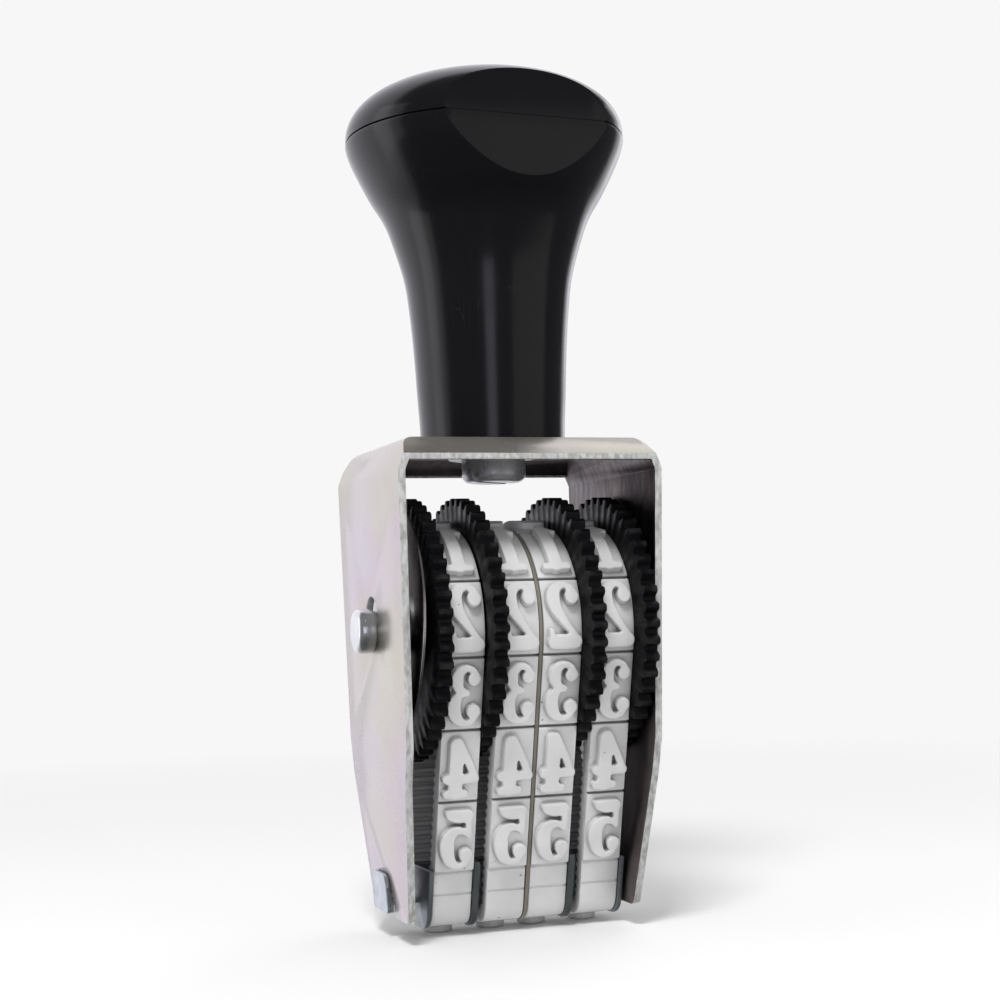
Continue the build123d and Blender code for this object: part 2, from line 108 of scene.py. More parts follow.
def roundedProfile(points, radius, segments=3):
    # a closed outline of (along, out) with every corner rounded by the same small radius
    result = []
    count = len(points)
    for i, here in enumerate(points):
        here = Vector(here)
        before = Vector(points[i - 1]) - here
        after = Vector(points[(i + 1) % count]) - here
        reach = min(radius, before.length * 0.45, after.length * 0.45)
        a = here + before.normalized() * reach
        b = here + after.normalized() * reach
        for k in range(segments + 1):
            t = k / segments
            result.append((1 - t) ** 2 * a + 2 * t * (1 - t) * here + t * t * b)
    return result


def smoothPath(points, steps):
    # a smooth run through the points, each point any number of values
    path = []
    last = len(points) - 1
    for i in range(last):
        p0, p1, p2, p3 = (Vector(points[max(0, min(last, i + k))]) for k in (-1, 0, 1, 2))
        for k in range(steps):
            t = k / steps
            path.append(0.5 * (2 * p1 + (p2 - p0) * t + (2 * p0 - 5 * p1 + 4 * p2 - p3) * t * t
                               + (3 * p1 - p0 - 3 * p2 + p3) * t ** 3))
    path.append(Vector(points[last]))
    return path


# shared helpers: materials

def newMaterial(name, colour, roughness, metallic=0.0):
    material = bpy.data.materials.new(name)
    material.use_nodes = True
    nodes = material.node_tree.nodes
    shader = nodes["Principled BSDF"]
    shader.inputs["Base Color"].default_value = (*colour, 1)
    shader.inputs["Roughness"].default_value = roughness
    shader.inputs["Metallic"].default_value = metallic
    return material, nodes, material.node_tree.links, shader


def noise(nodes, links, scale, detail=4.0, stretch=(1, 1, 1), roughness=0.55):
    place = nodes.new("ShaderNodeTexCoord")
    mapping = nodes.new("ShaderNodeMapping")
    mapping.inputs["Scale"].default_value = stretch
    texture = nodes.new("ShaderNodeTexNoise")
    texture.inputs["Scale"].default_value = scale
    texture.inputs["Detail"].default_value = detail
    texture.inputs["Roughness"].default_value = roughness
    links.new(place.outputs["Object"], mapping.inputs["Vector"])
    links.new(mapping.outputs["Vector"], texture.inputs["Vector"])
    return texture.outputs["Fac"]


def ramp(nodes, links, source, *stops):
    node = nodes.new("ShaderNodeValToRGB")
    elements = node.color_ramp.elements
    while len(elements) < len(stops):
        elements.new(0.5)
    for element, (position, colour) in zip(elements, stops):
        element.position = position
        element.color = (*colour, 1)
    links.new(source, node.inputs["Fac"])
    return node.outputs["Color"]


def spread(nodes, links, source, low, high, fromLow=0.3, fromHigh=0.7):
    node = nodes.new("ShaderNodeMapRange")
    node.inputs["From Min"].default_value = fromLow
    node.inputs["From Max"].default_value = fromHigh
    node.inputs["To Min"].default_value = low
    node.inputs["To Max"].default_value = high
    links.new(source, node.inputs["Value"])
    return node.outputs["Result"]


def mixed(nodes, links, kind, factor, a, b):
    node = nodes.new("ShaderNodeMix")
    node.data_type = "RGBA"
    node.blend_type = kind
    for value, label in ((factor, "Factor"), (a, "A"), (b, "B")):
        socket = [s for s in node.inputs if s.name == label and s.enabled][0]
        if hasattr(value, "is_output"):
            links.new(value, socket)
        elif isinstance(value, (int, float)):
            socket.default_value = value
        else:
            socket.default_value = (*value, 1)
    return [s for s in node.outputs if s.enabled][0]


def bump(nodes, links, shader, *layers):
    # layers are (height, strength, distance in metres), the last on top
    normal = None
    for height, strength, distance in layers:
        node = nodes.new("ShaderNodeBump")
        node.inputs["Strength"].default_value = strength
        node.inputs["Distance"].default_value = distance
        links.new(height, node.inputs["Height"])
        if normal:
            links.new(normal, node.inputs["Normal"])
        normal = node.outputs["Normal"]
    links.new(normal, shader.inputs["Normal"])


# ambient occlusion, used below to paint shade into hollows and corners
def shadeOcclusion(nodes, reach, samples=6):
    node = nodes.new("ShaderNodeAmbientOcclusion")
    node.samples = samples
    node.inputs["Distance"].default_value = reach
    return node.outputs["AO"]


# materials

def makeZincPlate():
    # bright zinc with a thin passivation film that shifts from straw to pink to lilac
    look = {"film": 0.8, "filmScale": 38, "roughness": (0.24, 0.36), "grain": 0.05}
    material, nodes, links, shader = newMaterial("zincPlate", (0.72, 0.71, 0.69), 0.32, 0.82)
    drift = noise(nodes, links, look["filmScale"], 1.5, (0.7, 1.0, 1.4), 0.4)
    film = ramp(nodes, links, drift, (0.25, (0.55, 0.55, 0.60)), (0.40, (0.59, 0.52, 0.56)),
                (0.50, (0.58, 0.54, 0.51)), (0.62, (0.58, 0.56, 0.45)), (0.78, (0.50, 0.53, 0.51)))
    cloud = noise(nodes, links, 190, 5)
    tone = ramp(nodes, links, cloud, (0.3, (0.86, 0.86, 0.86)), (0.7, (1, 1, 1)))
    base = mixed(nodes, links, "MIX", look["film"], (0.64, 0.62, 0.60), film)
    base = mixed(nodes, links, "MULTIPLY", 0.8, base, tone)
    # painted shade: the plate is darkened in hollows and corners by the ambient occlusion
    hollowShade = ramp(nodes, links, shadeOcclusion(nodes, 0.0016), (0.2, (0.45, 0.43, 0.4)), (0.75, (1, 1, 1)))
    base = mixed(nodes, links, "MULTIPLY", 0.6, base, hollowShade)
    links.new(base, shader.inputs["Base Color"])
    rolled = noise(nodes, links, 900, 3, (1, 1, 0.05))
    speck = noise(nodes, links, 2600, 3)
    links.new(spread(nodes, links, cloud, *look["roughness"]), shader.inputs["Roughness"])
    bump(nodes, links, shader, (drift, 0.05, 0.0006), (rolled, look["grain"], 0.0002),
         (speck, 0.08, 0.00005))
    return material


def makeShadedInsidePlate():
    # painted shade for the inside of the sheet: a dark, smoky copy of the plate with little gloss and a
    # brown cast, standing in for the shade inside the legs and under the crown
    material, nodes, links, shader = newMaterial("shadedInsidePlate", (0.12, 0.11, 0.11), 0.38, 1.0)
    cloud = noise(nodes, links, 90, 5, (1, 1, 0.5))
    grain = noise(nodes, links, 1200, 4, (1, 1, 0.2))
    shadeTone = ramp(nodes, links, cloud, (0.3, (0.05, 0.045, 0.05)), (0.5, (0.12, 0.1, 0.1)),
                 (0.72, (0.2, 0.17, 0.165)))
    links.new(shadeTone, shader.inputs["Base Color"])
    links.new(spread(nodes, links, grain, 0.3, 0.5), shader.inputs["Roughness"])
    bump(nodes, links, shader, (cloud, 0.15, 0.0006), (grain, 0.1, 0.0001))
    return material


def makeCutEdge():
    # the sheared edge of the plated sheet: whiter and rough, with shear lines across it
    material, nodes, links, shader = newMaterial("cutEdge", (0.72, 0.76, 0.78), 0.42, 0.35)
    tear = noise(nodes, links, 1500, 4, (1, 1, 0.4))
    base = ramp(nodes, links, tear, (0.32, (0.40, 0.41, 0.39)), (0.62, (0.74, 0.76, 0.74)))
    links.new(base, shader.inputs["Base Color"])
    links.new(spread(nodes, links, tear, 0.3, 0.6), shader.inputs["Roughness"])
    bump(nodes, links, shader, (tear, 0.5, 0.0003))
    return material


def makeSteel(name, colour, roughness, stretch, hollowShadeStrength=0.0, metal=1.0):
    material, nodes, links, shader = newMaterial(name, colour, roughness, metal)
    turned = noise(nodes, links, 700, 4, stretch)
    cloud = noise(nodes, links, 160, 4)
    low = tuple(c * 0.7 for c in colour)
    base = ramp(nodes, links, cloud, (0.3, low), (0.68, colour))
    # painted shade: the steel is darkened in hollows and corners by the ambient occlusion, more strongly as
    # the fifth argument grows
    hollowShade = ramp(nodes, links, shadeOcclusion(nodes, 0.0012), (0.2, (0.35, 0.33, 0.3)), (0.8, (1, 1, 1)))
    links.new(mixed(nodes, links, "MULTIPLY", 0.5 + hollowShadeStrength * 0.4, base, hollowShade), shader.inputs["Base Color"])
    links.new(spread(nodes, links, turned, roughness * 0.75, roughness * 1.35), shader.inputs["Roughness"])
    bump(nodes, links, shader, (cloud, 0.1, 0.0002), (turned, 0.12, 0.0001))
    return material


def makeKnobPlastic():
    look = {"scratches": 0.25, "scratchScale": 900}
    material, nodes, links, shader = newMaterial("knobPlastic", (0.006, 0.006, 0.008), 0.16)
    shader.inputs["Specular IOR Level"].default_value = 0.38
    haze = noise(nodes, links, 75, 4)
    fine = noise(nodes, links, 620, 6, (1, 1, 0.35))
    # long hair-fine scratches, mostly up and down
    place = nodes.new("ShaderNodeTexCoord")
    mapping = nodes.new("ShaderNodeMapping")
    mapping.inputs["Scale"].default_value = (1, 1, 0.03)
    mapping.inputs["Rotation"].default_value = (0.02, 0.05, 0)
    cells = nodes.new("ShaderNodeTexVoronoi")
    cells.feature = "DISTANCE_TO_EDGE"
    cells.inputs["Scale"].default_value = look["scratchScale"]
    links.new(place.outputs["Object"], mapping.inputs["Vector"])
    links.new(mapping.outputs["Vector"], cells.inputs["Vector"])
    line = spread(nodes, links, cells.outputs["Distance"], 1.0, 0.0, 0.0, 0.012)
    patchy = spread(nodes, links, noise(nodes, links, 110, 5), 0.0, 1.0, 0.56, 0.72)
    both = nodes.new("ShaderNodeMath")
    both.operation = "MULTIPLY"
    links.new(line, both.inputs[0])
    links.new(patchy, both.inputs[1])
    scratch = both.outputs[0]
    base = mixed(nodes, links, "MIX", scratch, (0.005, 0.005, 0.006), (0.028, 0.028, 0.03))
    links.new(base, shader.inputs["Base Color"])
    rough = nodes.new("ShaderNodeMath")
    rough.operation = "ADD"
    links.new(spread(nodes, links, haze, 0.13, 0.22), rough.inputs[0])
    links.new(spread(nodes, links, scratch, 0.0, look["scratches"], 0, 1), rough.inputs[1])
    links.new(rough.outputs[0], shader.inputs["Roughness"])
    bump(nodes, links, shader, (haze, 0.04, 0.0004), (fine, 0.03, 0.00006), (scratch, -0.05, 0.00003))
    return material


def makeWheelPlastic():
    look = {"wear": 0.35}
    material, nodes, links, shader = newMaterial("wheelPlastic", (0.008, 0.008, 0.009), 0.42)
    shader.inputs["Specular IOR Level"].default_value = 0.2
    cloud = noise(nodes, links, 240, 5)
    grain = noise(nodes, links, 1800, 4)
    rub = noise(nodes, links, 520, 6)
    bare = nodes.new("ShaderNodeNewGeometry")
    edge = spread(nodes, links, bare.outputs["Pointiness"], 0.0, look["wear"], 0.53, 0.62)
    patch = nodes.new("ShaderNodeMath")
    patch.operation = "MULTIPLY"
    links.new(edge, patch.inputs[0])
    links.new(spread(nodes, links, rub, 0, 1, 0.45, 0.6), patch.inputs[1])
    base = ramp(nodes, links, cloud, (0.35, (0.003, 0.003, 0.004)), (0.7, (0.007, 0.007, 0.008)))
    base = mixed(nodes, links, "MIX", patch.outputs[0], base, (0.09, 0.09, 0.09))
    links.new(base, shader.inputs["Base Color"])
    links.new(spread(nodes, links, rub, 0.34, 0.58), shader.inputs["Roughness"])
    bump(nodes, links, shader, (rub, 0.1, 0.0002), (grain, 0.15, 0.00006))
    return material


def makeBandRubber():
    look = {"colour": (0.70, 0.70, 0.70), "shade": (0.60, 0.60, 0.60), "hollowShadeColour": (0.16, 0.155, 0.15)}
    material, nodes, links, shader = newMaterial("bandRubber", look["colour"], 0.55)
    shader.inputs["Specular IOR Level"].default_value = 0.4
    cloud = noise(nodes, links, 150, 5)
    grain = noise(nodes, links, 2600, 4)
    lines = noise(nodes, links, 500, 3, (0.15, 2.2, 2.2))
    base = ramp(nodes, links, cloud, (0.32, look["shade"]), (0.66, look["colour"]))
    # painted shade: the rubber is darkened in the hollows between ribs, pads and type by the ambient
    # occlusion
    hollowShade = ramp(nodes, links, shadeOcclusion(nodes, 0.0009), (0.25, look["hollowShadeColour"]), (0.8, (1, 1, 1)))
    base = mixed(nodes, links, "MULTIPLY", 0.75, base, hollowShade)
    specks = spread(nodes, links, noise(nodes, links, 1300, 2), 0, 1, 0.74, 0.78)
    base = mixed(nodes, links, "MIX", specks, base, (0.12, 0.12, 0.12))
    links.new(base, shader.inputs["Base Color"])
    links.new(spread(nodes, links, cloud, 0.46, 0.66), shader.inputs["Roughness"])
    bump(nodes, links, shader, (lines, 0.1, 0.0002), (cloud, 0.12, 0.0003), (grain, 0.12, 0.00006))
    return material


zincPlate = makeZincPlate()
shadedInsidePlate = makeShadedInsidePlate()
cutEdge = makeCutEdge()
axleSteel = makeSteel("axleSteel", (0.78, 0.80, 0.80), 0.2, (8, 0.3, 0.3), 0.0, 0.9)
springSteel = makeSteel("springSteel", (0.7, 0.69, 0.66), 0.2, (1, 1, 1))
dividerPlate = makeSteel("dividerPlate", (0.36, 0.34, 0.27), 0.42, (1, 1, 1), 0.6, 0.4)
separatorPlate = makeSteel("separatorPlate", (0.13, 0.15, 0.145), 0.42, (1, 1, 1), 0.5, 0.5)
# painted light and shade: the platen is one folded sheet, given a dark copy of its plate for the bar in the
# shade under the bands and a light copy for the ears that stand out in the light
shadedPlatenPlate = makeSteel("shadedPlatenPlate", (0.24, 0.27, 0.28), 0.36, (1, 1, 1), 0.4, 0.6)
litEarPlate = makeSteel("litEarPlate", (0.60, 0.66, 0.70), 0.34, (1, 1, 1), 0.2, 0.8)
screwSteel = makeSteel("screwSteel", (0.62, 0.62, 0.64), 0.3, (1, 1, 1), 0.0, 0.6)
brassInsert = makeSteel("brassInsert", (0.72, 0.52, 0.22), 0.3, (1, 1, 1))
knobPlastic = makeKnobPlastic()
wheelPlastic = makeWheelPlastic()
bandRubber = makeBandRubber()
print("materials made")


# frame

def makeFrame():
    # the edge is in millimetres; the other three are places on the finished piece, in metres
    size = {"edge": 0.16, "insideFrom": 0.012, "shoulder": 0.0625, "crown": 0.0655}
    bm = fromNode("frame")
    softenEdges(bm, size["edge"], 2, 40)
    piece = newPiece("stampFrame", bm, zincPlate, "stamp_body", "frame", smoothAngle=32, slot="frame")
    piece.data.materials.append(cutEdge)
    piece.data.materials.append(shadedInsidePlate)
    # the narrow faces round the rim of the sheet are its sheared edge, and the faces inside the legs and
    # under the crown get the darker copy of the plate as painted shade
    for face in piece.data.polygons:
        c = face.center
        n = face.normal
        insideLeg = abs(n.x) > 0.6 and n.x * c.x < 0 and abs(c.x) > size["insideFrom"]
        underCrown = n.z < -0.3 and c.z > size["shoulder"]
        if insideLeg or underCrown:
            face.material_index = 2
        elif abs(n.x) < 0.35 and (abs(n.y) > 0.55 or n.z < -0.75) and c.z < size["crown"]:
            face.material_index = 1


makeFrame()
print("frame made")


# knob

def makeKnob():
    size = {"seamHeight": 112.7, "seam": 0.07, "top": 122.2, "topFlat": 0.6, "radius": 20.25,
            "segments": 192, "flat": 16.2, "flatTurn": 3.0, "flatLean": 3.0, "flatRim": 0.5}
    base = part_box("handle_body")[0].z / mm
    underSeam = size["seamHeight"] - size["seam"]
    side = [(10.4, base + 0.35), (10.42, base + 1.2), (10.5, base + 3.5), (10.72, base + 7),
            (11.0, base + 12.5), (11.45, base + 18.4), (12.2, base + 24.2), (13.9, base + 30.1),
            (15.1, base + 33.1), (16.85, base + 36), (18.4, base + 39), (19.6, base + 41.6),
            (20.12, base + 43.2), (20.22, underSeam - 0.25)]
    profile = [(0, base), (9.9, base), (10.25, base + 0.08)] + [tuple(p) for p in smoothPath(side, 7)]
    profile += [(20.12, underSeam - 0.08), (19.95, underSeam), (19.6, underSeam), (0, underSeam)]
    upright, foot = (0, 0, 1), (0, axleY, 0)
    body = spun([(r, axleY, z) for r, z in profile], size["segments"], upright, foot, closed=False)

    # a low dome, a little fuller than an ellipse
    dome = [(0, size["seamHeight"]), (19.6, size["seamHeight"]), (20.0, size["seamHeight"]),
            (20.17, size["seamHeight"] + 0.06)]
    rise = size["top"] - size["seamHeight"]
    fullness = 2 / 2.27
    rimRadius = size["radius"] * 0.998
    for k in range(2, 48):
        a = k / 48 * pi / 2
        dome.append((rimRadius * cos(a) ** fullness, size["seamHeight"] + rise * sin(a) ** fullness))
    dome += [(size["topFlat"], size["top"]), (0, size["top"])]
    cap = spun([(r, axleY, z) for r, z in dome], size["segments"], upright, foot, closed=False)

    # the flat across the front, with a softly rounded rim
    turn, lean = radians(size["flatTurn"]), radians(size["flatLean"])
    facing = Vector((sin(turn) * cos(lean), -cos(turn) * cos(lean), sin(lean)))
    onFlat = Vector((size["flat"] * sin(turn), axleY - size["flat"] * cos(turn), size["seamHeight"]))
    for bm in (body, cap):
        cut = bmesh.ops.bisect_plane(bm, geom=bm.verts[:] + bm.edges[:] + bm.faces[:], dist=0.0001,
                                     plane_co=onFlat, plane_no=facing, clear_outer=True)
        rim = [e for e in cut["geom_cut"] if isinstance(e, bmesh.types.BMEdge)]
        bmesh.ops.edgeloop_fill(bm, edges=rim)
        bmesh.ops.recalc_face_normals(bm, faces=bm.faces)
        softRim = [e for e in bm.edges if len(e.link_faces) == 2 and e.calc_face_angle(0) > radians(12)
                   and any(f.normal.dot(facing) > 0.9999 and len(f.verts) > 20 for f in e.link_faces)
                   and not any(abs(f.normal.z) > 0.99 for f in e.link_faces)]
        bmesh.ops.bevel(bm, geom=softRim, offset=size["flatRim"], segments=4, profile=0.5, affect="EDGES",
                        material=-1, clamp_overlap=True)
    newPiece("knobBody", body, knobPlastic, "stamp_body", "handle_body", smoothAngle=50, slot="handle")
    newPiece("knobCap", cap, knobPlastic, "stamp_body", "handle_cap", smoothAngle=50, slot="handle")


makeKnob()
print("knob made")


# number wheels

def toothedPart(profile, count, depth, rimFrom, pattern):
    # profile is a closed outline of (x, radius); points outside rimFrom follow the teeth
    steps = count * len(pattern)
    bm = spun([(x, axleY, axleZ + r) for x, r in profile], steps, (1, 0, 0), (0, axleY, axleZ))
    step = 2 * pi / steps
    for v in bm.verts:
        y, z = v.co.y - axleY, v.co.z - axleZ
        r = hypot(y, z)
        if r < rimFrom:
            continue
        k = round(atan2(z, y) / step)
        share, drop = pattern[k % len(pattern)]
        angle = (k // len(pattern) + share) * 2 * pi / count
        r -= depth * drop
        v.co.y = axleY + r * cos(angle)
        v.co.z = axleZ + r * sin(angle)
    return bm


def makeWheel(number, hubSide):
    size = {"tip": 18.48, "teeth": 48, "depth": 1.0, "toothRoot": 17.0, "flange": 2.0, "bore": 3.15,
            "hub": 11.2, "splines": 66, "splineDepth": 0.4, "splineRoot": 10.6, "rounding": 0.16,
            "hubLength": 5.68, "recess": 0.5, "recessFrom": 6.0, "recessTo": 14.5}
    node = f"wheel_{number}"
    low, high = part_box(node)
    left, right = low.x / mm, high.x / mm
    outer = left if hubSide > 0 else right      # the flange's outer face
    inner = outer + hubSide * size["flange"]

    def at(depth):
        return outer + hubSide * depth

    flange = [(at(0), size["bore"]), (at(0), size["recessFrom"]),
              (at(size["recess"]), size["recessFrom"] + 0.3), (at(size["recess"]), size["recessTo"] - 0.3),
              (at(0), size["recessTo"]), (at(0), size["tip"]),
              (inner, size["tip"]), (inner, size["bore"])]
    # each tooth and each spline as (share of the pitch, share of the depth)
    toothShape = [(-0.22, 0.3), (-0.13, 0.04), (0.0, 0.0), (0.13, 0.04), (0.22, 0.3), (0.32, 0.84),
                  (0.4, 1.0), (0.6, 1.0), (0.68, 0.84)]
    splineShape = [(-0.2, 0.1), (0.2, 0.1), (0.35, 1.0), (0.65, 1.0)]
    flange = [tuple(p) for p in roundedProfile(flange, size["rounding"], 2)]
    bm = toothedPart(flange, size["teeth"], size["depth"], size["toothRoot"], toothShape)
    hubStart = inner - hubSide * 0.2
    hubEnd = inner + hubSide * size["hubLength"]
    hub = [(hubStart, size["bore"]), (hubStart, size["hub"]), (hubEnd, size["hub"]), (hubEnd, size["bore"])]
    hub = [tuple(p) for p in roundedProfile(hub, 0.75 * size["rounding"], 2)]
    hubBm = toothedPart(hub, size["splines"], size["splineDepth"], size["splineRoot"], splineShape)
    hubMesh = bpy.data.meshes.new("hubPart")
    hubBm.to_mesh(hubMesh)
    hubBm.free()
    bm.from_mesh(hubMesh)
    bpy.data.meshes.remove(hubMesh)
    bmesh.ops.recalc_face_normals(bm, faces=bm.faces)
    newPiece(f"numberWheel{number}", bm, wheelPlastic, node, node, smoothAngle=28, slot="wheel")


for number, hubSide in ((1, 1), (2, 1), (3, -1), (4, -1)):      # the hubs point inwards
    makeWheel(number, hubSide)
print("wheels made")


# rubber bands: laid out flat as (across, along, height), then wrapped round the loop

band = {"width": 5.6, "hub": 13.4, "nose": 2.4, "noseHalf": 1.6, "noseHeight": 4.2, "pad": 0.7, "type": 1.1,
        "inside": -1.4, "rib": 0.5, "ribsPerCharacter": 8, "groove": 0.4, "grooveDepth": 0.6,
        "blankDrop": 0.35, "blankGroove": 0.12, "mouldingLine": 7.4, "firstCharacter": -4.5,
        "characters": ["6", "", "5", "4", "3", "2", "1", "0", "", "", "9", "8", "7"]}

rise = axleZ - band["noseHeight"]
reach = hypot(band["noseHalf"], rise)
radiusDrop = band["hub"] - band["nose"]
strand = (reach ** 2 - radiusDrop ** 2) ** 0.5
lean = atan2(radiusDrop, strand) - atan2(band["noseHalf"], rise)
corner = band["nose"] * (pi / 2 - lean)
loopLength = 2 * (band["noseHalf"] + corner + strand + band["hub"] * (pi / 2 + lean))
pitch = loopLength / len(band["characters"])


def loopPoint(along, out):
    side = 1 if along >= 0 else -1
    run = abs(along)
    noseY, noseZ = -band["noseHalf"], band["noseHeight"]
    if run < band["noseHalf"]:
        angle, y, z = pi / 2, -run, noseZ - band["nose"]
    elif run < band["noseHalf"] + corner:
        angle = pi / 2 - (run - band["noseHalf"]) / band["nose"]
        y, z = noseY - band["nose"] * cos(angle), noseZ - band["nose"] * sin(angle)
    elif run < band["noseHalf"] + corner + strand:
        angle = lean
        up = run - band["noseHalf"] - corner
        y = noseY - band["nose"] * cos(angle) - up * sin(angle)
        z = noseZ - band["nose"] * sin(angle) + up * cos(angle)
    else:
        angle = lean - (run - band["noseHalf"] - corner - strand) / band["hub"]
        y, z = -band["hub"] * cos(angle), axleZ - band["hub"] * sin(angle)
    return side * (y - out * cos(angle)) + axleY, z - out * sin(angle)


def wrap(bm):
    for v in bm.verts:
        y, z = loopPoint(v.co.y, v.co.z)
        v.co.y, v.co.z = y, z


def between(table, value):
    for (a, fa), (b, fb) in zip(table, table[1:]):
        if a <= value <= b:
            return fa + (fb - fa) * (value - a) / (b - a) if b > a else fb
    return table[-1][1]


def makeStrip():
    half = loopLength / 2
    ribCount = band["ribsPerCharacter"] * len(band["characters"])
    ribStep = loopLength / ribCount
    inside = []
    for rib in range(ribCount):
        for share, height in ((-0.5, 0), (-0.28, 0), (-0.17, -1), (0.17, -1), (0.28, 0)):
            inside.append(((rib + 0.5 + share) * ribStep - half, band["inside"] + height * band["rib"]))
    inside.append((half, band["inside"]))

    # the pads: one for each character, a groove at each end, blank pads a little lower
    cells = []
    for place, character in enumerate(band["characters"]):
        centre = band["firstCharacter"] + place * pitch
        if centre > half:
            centre -= loopLength
        cells.append((centre - pitch / 2, character != ""))
    cells.sort()
    outside = []
    for i, (start, raised) in enumerate(cells):
        before = cells[i - 1][1]
        top = band["pad"] - (0 if raised else band["blankDrop"])
        topBefore = band["pad"] - (0 if before else band["blankDrop"])
        floor = min(top, topBefore) - (band["grooveDepth"] if raised and before else band["blankGroove"])
        g = band["groove"] / 2
        outside += [(start - g - 0.1, topBefore), (start - g, topBefore - 0.08), (start - g * 0.5, floor),
                    (start + g * 0.5, floor), (start + g, top - 0.08), (start + g + 0.1, top)]
    # a fine moulding line across the blank pad under the first digit
    line, blankTop = band["mouldingLine"], band["pad"] - band["blankDrop"]
    outside += [(line - 0.2, blankTop), (line - 0.08, blankTop - 0.14), (line + 0.08, blankTop - 0.14),
                (line + 0.2, blankTop)]
    outside.sort()
    wrapStart = [(s - loopLength, h) for s, h in outside[-6:]]
    wrapEnd = [(s + loopLength, h) for s, h in outside[:6]]
    outside = wrapStart + outside + wrapEnd

    stations = {round(s, 4) for s, _ in inside} | {round(s, 4) for s, _ in outside if -half < s < half}
    stations = sorted(stations)
    across = [-1, -0.985, -0.945, 0.945, 0.985, 1]
    drop = [0.16, 0.05, 0, 0, 0.05, 0.16]
    bm = bmesh.new()
    bmesh.ops.create_grid(bm, x_segments=len(across) - 1, y_segments=len(stations) - 1, size=1)
    columns = sorted({round(v.co.x, 5) for v in bm.verts})
    rows = sorted({round(v.co.y, 6) for v in bm.verts})
    columnOf = {x: i for i, x in enumerate(columns)}
    rowOf = {y: i for i, y in enumerate(rows)}
    place = {v: (columnOf[round(v.co.x, 5)], rowOf[round(v.co.y, 6)]) for v in bm.verts}
    topFaces = bm.faces[:]
    new = bmesh.ops.extrude_face_region(bm, geom=topFaces)
    under = {}
    for v in new["geom"]:
        if isinstance(v, bmesh.types.BMVert):
            under[v] = (columnOf[round(v.co.x, 5)], rowOf[round(v.co.y, 6)])
    for v, (i, j) in place.items():
        v.co = (across[i] * band["width"] / 2, stations[j], between(outside, stations[j]) - drop[i])
    for v, (i, j) in under.items():
        v.co = (across[i] * band["width"] / 2, stations[j], between(inside, stations[j]) + drop[i] * 0.5)
    ends = [f for f in bm.faces if all(abs(abs(v.co.y) - half) < 0.001 for v in f.verts)]
    bmesh.ops.delete(bm, geom=ends, context="FACES_ONLY")
    wrap(bm)
    bmesh.ops.remove_doubles(bm, verts=bm.verts, dist=0.002)
    bmesh.ops.recalc_face_normals(bm, faces=bm.faces)
    return bm


